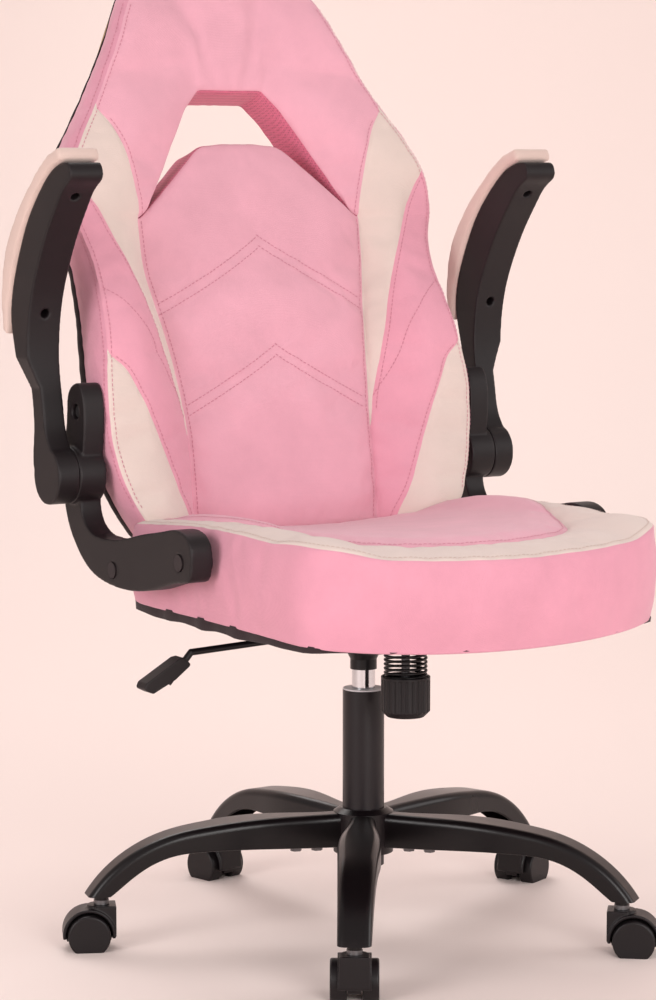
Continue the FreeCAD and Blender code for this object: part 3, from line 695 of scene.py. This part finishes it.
def make_back_cushion():
    """One sewn cover: ring, centre panel and head in front, the side band, and mesh in the opening."""
    bm = bmesh.new()
    back_ring(bm)
    grid_faces(bm, panel_grid(bm, back_depth), PINK)
    grid_faces(bm, head_grid(bm, back_depth), PINK)
    join_near(bm)
    bm.verts.ensure_lookup_table()
    outer = boundary_loop(bm, lowest_edge_vertex(bm))
    taken = set(outer)
    inner = [v for v in bm.verts if v.is_boundary and v not in taken]
    opening = boundary_loop(bm, min(inner, key=lambda v: abs(v.co.x)))
    skirt(bm, opening, lambda co: rear_depth(co.x, co.z) - co.y + 0.001, OPENING_DROP, -0.0015, 7, MESH)
    skirt(bm, outer, lambda co: SIDE_DEPTH(co.z), 0.0, 0.0055, 8, SIDE)
    bmesh.ops.recalc_face_normals(bm, faces=bm.faces)
    front = min(bm.faces, key=lambda f: f.calc_center_median().y)
    if front.normal.y > 0:
        bmesh.ops.reverse_faces(bm, faces=bm.faces)
    obj = new_object("back_cushion_cover", bm, [LOOK[name] for name in BACK_LOOKS])
    shape_back(obj)
    finish_soft(obj, "back_cushion", "seat")
    return obj


def seam_vertices(mesh):
    """Vertices where two cover panels meet."""
    seen = {}
    for polygon in mesh.polygons:
        for index in polygon.vertices:
            seen.setdefault(index, set()).add(polygon.material_index)
    return {index for index, used in seen.items() if len(used) > 1}


def valley(mesh, seams, depth, width):
    """Draws the cover in along its seams."""
    places = np.array([mesh.vertices[i].co for i in sorted(seams)])
    for vert, normal in [(v, v.normal.copy()) for v in mesh.vertices]:
        gap = float(np.sqrt(((places - np.array(vert.co)) ** 2).sum(1).min()))
        if gap < width:
            vert.co -= normal * depth * (1 - gap / width) ** 2


def shape_back(obj):
    """Pins the back's seams, fills it out between them and draws the seams in."""
    mesh = obj.data
    seams = seam_vertices(mesh)
    pins = {index: 1.0 for index in seams}
    for vert in mesh.vertices:
        x, y, z = vert.co
        below_arch = z < panel_top(min(abs(x) / ARCH_HALF, 1.0)) - 0.004
        inside = abs(x) < PANEL_HALF(z) - 0.004 and below_arch
        if abs(abs(x) - PANEL_HALF(z)) < 0.002 and z < OPENING_LOW:
            pins[vert.index] = 1.0
        if inside and chevron_distance(x, z) < 0.0036:
            pins[vert.index] = 1.0
        if vert.index not in pins and y > back_depth(x, z) + 0.012:
            pins[vert.index] = 0.4
    puff(obj, pins, 3.0, 0.007, 0.012)
    valley(mesh, {index for index, weight in pins.items() if weight == 1.0}, 0.0016, 0.008)


def finish_soft(obj, node, body):
    subdivide(obj, 1)
    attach(obj, body)
    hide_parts(node)


def make_rear_cover():
    """The black shell cover: a rounded rim behind the pink side and a flat rear."""
    bm = bmesh.new()
    rim = 0.004
    head_low, head_high = OPENING_TOP, 1.06

    def drop(x, z):
        """How far the opening's slope has fallen by the time it reaches the rear."""
        return (rear_depth(x, z) - back_depth(x, z)) * OPENING_DROP

    for side in (-1, 1):
        rows = []
        for z in ring_rows():
            inner = ring_inner(z)
            row = []
            for t in spaced(16):
                x = inner + (BACK_HALF(z) - rim - inner) * t
                fall = drop(x, z) * (1 - t) ** 2 if z >= OPENING_LOW else 0.0
                fall *= 1 - step(head_low, head_high, z)
                row.append(bm.verts.new(Vector((side * x, rear_depth(x, z), z - fall))))
            rows.append(row)
        grid_faces(bm, rows, 0, side > 0)
    panel = panel_grid(bm, rear_depth)
    top_row = len(panel) - 1
    for k, row in enumerate(panel):
        for vert in row:
            vert.co.z -= drop(vert.co.x, vert.co.z) * step(0.75, 1.0, k / top_row)
    grid_faces(bm, panel, 0, True)
    head = head_grid(bm, rear_depth)
    for row in head:
        for vert in row:
            vert.co.z -= drop(vert.co.x, vert.co.z) * (1 - step(head_low, head_high, vert.co.z))
    grid_faces(bm, head, 0, True)
    join_near(bm, 0.003)
    bm.verts.ensure_lookup_table()
    outer = boundary_loop(bm, lowest_edge_vertex(bm))
    skirt(bm, outer, lambda co: -COVER_DEPTH(co.z) - 0.001, 0.0, 0.004, 5, 0)
    bmesh.ops.recalc_face_normals(bm, faces=bm.faces)
    obj = new_object("rear_cover_cloth", bm, [LOOK["black_cloth"]], 1)
    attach(obj, "seat")
    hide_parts("rear_cover")
    return obj


# ---- seat -------------------------------------------------------------
SEAT_CENTRE = Vector((0, -0.06, 0))
SEAT_ANGLES = 168


def closed_plan(points):
    """Radius against heading for a closed, left-right symmetric outline given by its right half, in mm."""
    right = [Vector((x * MM, y * MM, 0)) for x, y in points]
    loop = right + [Vector((-p.x, p.y, 0)) for p in reversed(right) if abs(p.x) > 1e-6]
    dense = []
    size = len(loop)
    for k in range(size):
        a, b, c, d = (loop[(k + j - 1) % size] for j in range(4))
        for s in range(12):
            t = s / 12
            dense.append(0.5 * (2 * b + (c - a) * t + (2 * a - 5 * b + 4 * c - d) * t * t
                                + (3 * b - a - 3 * c + d) * t ** 3))
    heading = np.array([math.atan2(p.y - SEAT_CENTRE.y, p.x - SEAT_CENTRE.x) for p in dense])
    radius = np.array([math.hypot(p.x - SEAT_CENTRE.x, p.y - SEAT_CENTRE.y) for p in dense])
    order = np.argsort(heading)
    return lambda angle: float(np.interp(angle, heading[order], radius[order], period=2 * math.pi))


# Right halves of the seat's outlines, in mm: its top seam, the pink insert and its lower edge.
SEAT_EDGE = closed_plan([(0, -338), (90, -331), (160, -314), (207, -291), (229, -266), (238, -225), (242, -120),
                         (242, -20), (241, 60), (239, 120), (226, 150), (190, 168), (110, 176), (0, 178)])
SEAT_INSERT = closed_plan([(0, -262), (80, -253), (130, -230), (158, -190), (178, -142), (200, -80), (211, -30),
                           (214, 40), (211, 100), (196, 140), (150, 158), (80, 164), (0, 166)])
SEAT_BOTTOM_EDGE = closed_plan([(0, -329), (90, -322), (160, -305), (206, -283), (230, -260), (241, -222),
                                (247, -120), (247, -20), (246, 60), (242, 118), (228, 148), (190, 166),
                                (110, 174), (0, 176)])
# Heights along the seat, in mm from front to rear: its middle, its sides and its underside.
SEAT_MIDDLE_Z = profile((-340, 497), (-300, 503), (-260, 504), (-200, 505), (-100, 500), (0, 493), (90, 484),
                        (180, 474))
SEAT_SIDE_Z = profile((-340, 499), (-291, 509), (-264, 512), (-190, 511), (-110, 514), (-22, 513), (63, 507),
                      (136, 500), (180, 492))
SEAT_UNDER_Z = profile((-340, 390), (-290, 399), (-240, 404), (-200, 406), (180, 408))


def seat_top(place):
    side = min(abs(place.x) / 0.242, 1.0)
    level = SEAT_MIDDLE_Z(place.y) + (SEAT_SIDE_Z(place.y) - SEAT_MIDDLE_Z(place.y)) * side ** 2
    crown = 0.011 * math.exp(-((abs(place.x) - 0.204) / 0.030) ** 2) * step(-0.34, -0.22, place.y)
    return level + crown


def seat_angle(k):
    return -math.pi + 2 * math.pi * k / SEAT_ANGLES


def seat_ring(plan, share, level_at):
    ring = []
    for k in range(SEAT_ANGLES):
        angle = seat_angle(k)
        radius = plan(angle) * share
        place = SEAT_CENTRE + Vector((math.cos(angle), math.sin(angle), 0)) * radius
        place.z = level_at(place)
        ring.append(place)
    return ring


def ring_band(bm, low, high, material):
    size = len(low)
    for k in range(size):
        face = bm.faces.new((low[k], low[(k + 1) % size], high[(k + 1) % size], high[k]))
        face.material_index = material


def make_seat_cushion():
    """One sewn cover: pink insert, cream border and a pink side that turns under."""
    bm = bmesh.new()
    centre = bm.verts.new(Vector((SEAT_CENTRE.x, SEAT_CENTRE.y, seat_top(SEAT_CENTRE))))
    insert_rings = 22
    rings = []
    for k in range(1, insert_rings + 1):
        share = math.sin(math.pi / 2 * k / insert_rings)
        rings.append([bm.verts.new(p) for p in seat_ring(SEAT_INSERT, share, seat_top)])
    for k in range(SEAT_ANGLES):
        face = bm.faces.new((centre, rings[0][k], rings[0][(k + 1) % SEAT_ANGLES]))
        face.material_index = PINK
    for low, high in zip(rings, rings[1:]):
        ring_band(bm, low, high, PINK)
    insert = seat_ring(SEAT_INSERT, 1, seat_top)
    edge = seat_ring(SEAT_EDGE, 1, seat_top)
    here = rings[-1]
    for t in spaced(10)[1:]:
        ring = [bm.verts.new(a.lerp(b, t)) for a, b in zip(insert, edge)]
        for vert in ring:
            if 0 < t < 1:
                vert.co.z = seat_top(vert.co)
        ring_band(bm, here, ring, CREAM)
        here = ring
    under = seat_ring(SEAT_BOTTOM_EDGE, 1, lambda p: SEAT_UNDER_Z(p.y))
    for t in spaced(12)[1:]:
        ring = []
        for a, b in zip(edge, under):
            place = a.lerp(b, t)
            outward = Vector((place.x - SEAT_CENTRE.x, place.y - SEAT_CENTRE.y, 0)).normalized()
            ring.append(bm.verts.new(place + outward * 0.0045 * math.sin(math.pi * t)))
        ring_band(bm, here, ring, SIDE)
        here = ring
    for share, drop in ((0.97, 0.0), (0.93, 0.001)):
        ring = [bm.verts.new(SEAT_CENTRE + (Vector((p.x, p.y, 0)) - SEAT_CENTRE) * share + UP * (p.z + drop))
                for p in under]
        ring_band(bm, here, ring, SIDE)
        here = ring
    bmesh.ops.recalc_face_normals(bm, faces=bm.faces)
    obj = new_object("seat_cushion_cover", bm, [LOOK[name] for name in BACK_LOOKS])
    mesh = obj.data
    seams = seam_vertices(mesh)
    pins = {index: 1.0 for index in seams}
    for vert in mesh.vertices:
        if vert.index in pins:
            continue
        if vert.co.z < SEAT_UNDER_Z(vert.co.y) + 0.008:
            pins[vert.index] = 1.0
        elif vert.co.y > 0.15:
            pins[vert.index] = 0.9
    puff(obj, pins, 2.6, 0.007, 0.012)
    valley(mesh, seams, 0.0022, 0.009)
    finish_soft(obj, "seat_cushion", "seat")
    return obj


def make_dust_cover():
    """Thin black cloth under the seat, stapled up with a loose wavy edge."""
    bm = bmesh.new()
    rings = []
    for share, level in ((0.35, 0.3992), (0.7, 0.3992), (0.92, 0.3990), (0.982, 0.3985), (0.994, 0.4),
                         (0.996, 0.41)):
        ring = []
        for k in range(SEAT_ANGLES):
            angle = seat_angle(k)
            wave = 0.0014 * math.sin(angle * 23) + 0.0010 * math.sin(angle * 41 + 1)
            outer = step(0.9, 0.99, share)
            radius = SEAT_BOTTOM_EDGE(angle) * share + wave * outer
            place = SEAT_CENTRE + Vector((math.cos(angle), math.sin(angle), 0)) * radius
            place.z = level - 0.0022 * outer * (1 + math.sin(angle * 17)) / 2
            if share > 0.995:
                place.z = SEAT_UNDER_Z(place.y) + 0.003
            ring.append(bm.verts.new(place))
        rings.append(ring)
    for low, high in zip(rings, rings[1:]):
        ring_band(bm, low, high, 0)
    bm.faces.new(rings[0])
    bmesh.ops.recalc_face_normals(bm, faces=bm.faces)
    obj = new_object("dust_cover_cloth", bm, [LOOK["black_cloth"]])
    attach(obj, "seat")
    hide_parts("dust_cover")


# ---- stitching --------------------------------------------------------
def sew(name, path, cover, look):
    """Stitches along a path, moved to the nearest places on a finished cover and just above it."""
    evaluated = cover.evaluated_get(bpy.context.evaluated_depsgraph_get())
    spots = []
    for place in path:
        hit, where, normal, _ = evaluated.closest_point_on_mesh(place)
        spots.append(where + normal * 0.0002 if hit else place)

    def normal_at(place):
        return evaluated.closest_point_on_mesh(place)[2]

    obj = stitch_row(name, spots, normal_at, LOOK[look])
    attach(obj, "seat")


def back_path(across, low, high, offset, count=70):
    """Points up the back's front surface, an offset beside a half-width profile."""
    path = []
    for k in range(count + 1):
        z = low + (high - low) * k / count
        x = across(z) + offset
        path.append(Vector((x, back_depth(x, z), z)))
    return path


# Rows of stitches on each side of the back: the seam they follow, their lowest and highest points, and how
# far beside the seam they run.
BACK_ROWS = ((PANEL_HALF, 0.485, 0.858, -0.0045), (STRIPE_OUTER, 0.62, 0.915, 0.0045),
             (STRIPE_INNER, 0.865, 0.985, -0.0045), (WEDGE_INNER, 0.485, 0.700, -0.0045),
             (DART, 0.636, 0.783, 0.0), (BACK_HALF, 0.52, 1.125, -0.0055))


def sew_back(cover):
    paths = []
    for side in (-1, 1):
        for across, low, high, offset in BACK_ROWS:
            paths.append([Vector((side * p.x, p.y, p.z)) for p in back_path(across, low, high, offset)])
        paths.append([Vector((side * (BACK_HALF(p.z) + 0.003), p.y + 0.006, p.z))
                      for p in back_path(BACK_HALF, 0.52, 1.125, 0)])
    for chevron in CHEVRONS:
        for gap in CHEVRON_ROWS:
            path = []
            for k in range(81):
                x = chevron[2] * (2 * k / 80 - 1)
                z = chevron_height(chevron, gap, x)
                path.append(Vector((x, back_depth(x, z), z)))
            paths.append(path)
    for number, path in enumerate(paths, 1):
        sew("back_stitches_%d" % number, path, cover, "pink_thread")


def sew_seat(cover):
    """One row inside the insert's seam and one inside the outer seam, both open at the rear."""
    rows = ((SEAT_INSERT, 0.982, "pink_thread"), (SEAT_EDGE, 0.981, "cream_thread"))
    for number, (plan, share, look) in enumerate(rows, 1):
        path = seat_ring(plan, share, lambda p: seat_top(p) + 0.004)
        path = [p for p in path + path[:1] if p.y < 0.13]
        start = max(range(len(path)), key=lambda k: (path[k] - path[k - 1]).length)
        path = path[start:] + path[:start]
        sew("seat_stitches_%d" % number, path, cover, look)


# ---- arms -------------------------------------------------------------
def make_arm_pad(side):
    """A fabric pad that wraps the arm's upper side, rolled at its edges."""
    node = "arm_pad_" + side
    obj = rounded_copy(node, "_cover", "pad", 3.5, 12)
    puff(obj, {}, 2.0, 0.003)
    finish_soft(obj, node, "arm_" + side)


def make_arms():
    for side in ("right", "left"):
        soften("arm_shell_" + side, "arm", "arm_" + side, 1.5, 5)
        soften("arm_bracket_" + side, "arm", "seat", 1.5, 5)
        make_arm_pad(side)


# ---- mouldings --------------------------------------------------------
def make_hard_pieces():
    for k in range(1, 6):
        soften("caster_%d_housing" % k, "wheel", "caster_%d" % k, 0.9, 3)
    soften("tension_knob", "arm", "knob", 0.7, 2)
    soften("lever_paddle", "arm", "lever", 0.7, 3)


# ---- stage ------------------------------------------------------------
def make_stage():
    """A pale floor that curves up into a wall behind the chair."""
    bm = bmesh.new()
    rows = []
    for y, z in ((-6.0, 0.0), (1.5, 0.0), (2.2, 0.05), (2.7, 0.25), (3.0, 0.7), (3.1, 1.5), (3.1, 5.0)):
        rows.append([bm.verts.new(Vector((x, y, z))) for x in np.linspace(-6, 6, 9)])
    grid_faces(bm, rows)
    floor = new_object("floor", bm, [plain_stage("pale floor", srgb(246, 231, 226), 0.85)], 2)
    floor.rotation_euler = (0, 0, math.radians(-VIEW_TURN))


def area_light(name, place, target, power, size, colour):
    data = bpy.data.lights.new(name, "AREA")
    data.energy = power
    data.shape = "DISK"
    data.size = size
    data.color = colour
    lamp = bpy.data.objects.new(name, data)
    bpy.context.scene.collection.objects.link(lamp)
    lamp.location = place
    lamp.rotation_euler = (Vector(target) - Vector(place)).to_track_quat("-Z", "Y").to_euler()


def make_lights():
    world = bpy.data.worlds.new("studio")
    world.use_nodes = True
    background = world.node_tree.nodes["Background"]
    background.inputs["Color"].default_value = srgb(255, 243, 240)
    background.inputs["Strength"].default_value = 0.5
    bpy.context.scene.world = world
    area_light("key", (-0.4, -3.0, 1.1), (0, 0, 0.35), 45, 1.7, (1.0, 0.98, 0.96))
    area_light("left fill", (-3.2, -0.8, 1.3), (0, 0, 0.45), 46, 1.8, (1.0, 0.97, 0.96))
    area_light("right fill", (2.8, -1.6, 1.5), (0, 0, 0.5), 24, 2.0, (1.0, 0.96, 0.95))
    area_light("back", (0.4, 1.9, 2.6), (0, 0, 0.3), 34, 2.0, (1.0, 0.98, 0.97))


def make_camera():
    data = bpy.data.cameras.new("camera")
    data.sensor_width = 36
    data.lens = 111.8
    camera = bpy.data.objects.new("camera", data)
    bpy.context.scene.collection.objects.link(camera)
    camera.location = (-1.957, -3.117, 0.927)
    turn = math.radians(VIEW_TURN)
    dip = math.radians(VIEW_DIP)
    aim = Vector((math.sin(turn) * math.cos(dip), math.cos(turn) * math.cos(dip), -math.sin(dip)))
    camera.rotation_euler = aim.to_track_quat("-Z", "Y").to_euler()
    bpy.context.scene.camera = camera


dress_cad()
back = make_back_cushion()
make_rear_cover()
seat = make_seat_cushion()
make_dust_cover()
sew_back(back)
sew_seat(seat)
make_arms()
make_hard_pieces()
make_stage()
make_lights()
make_camera()
bpy.context.scene.view_settings.view_transform = "Standard"
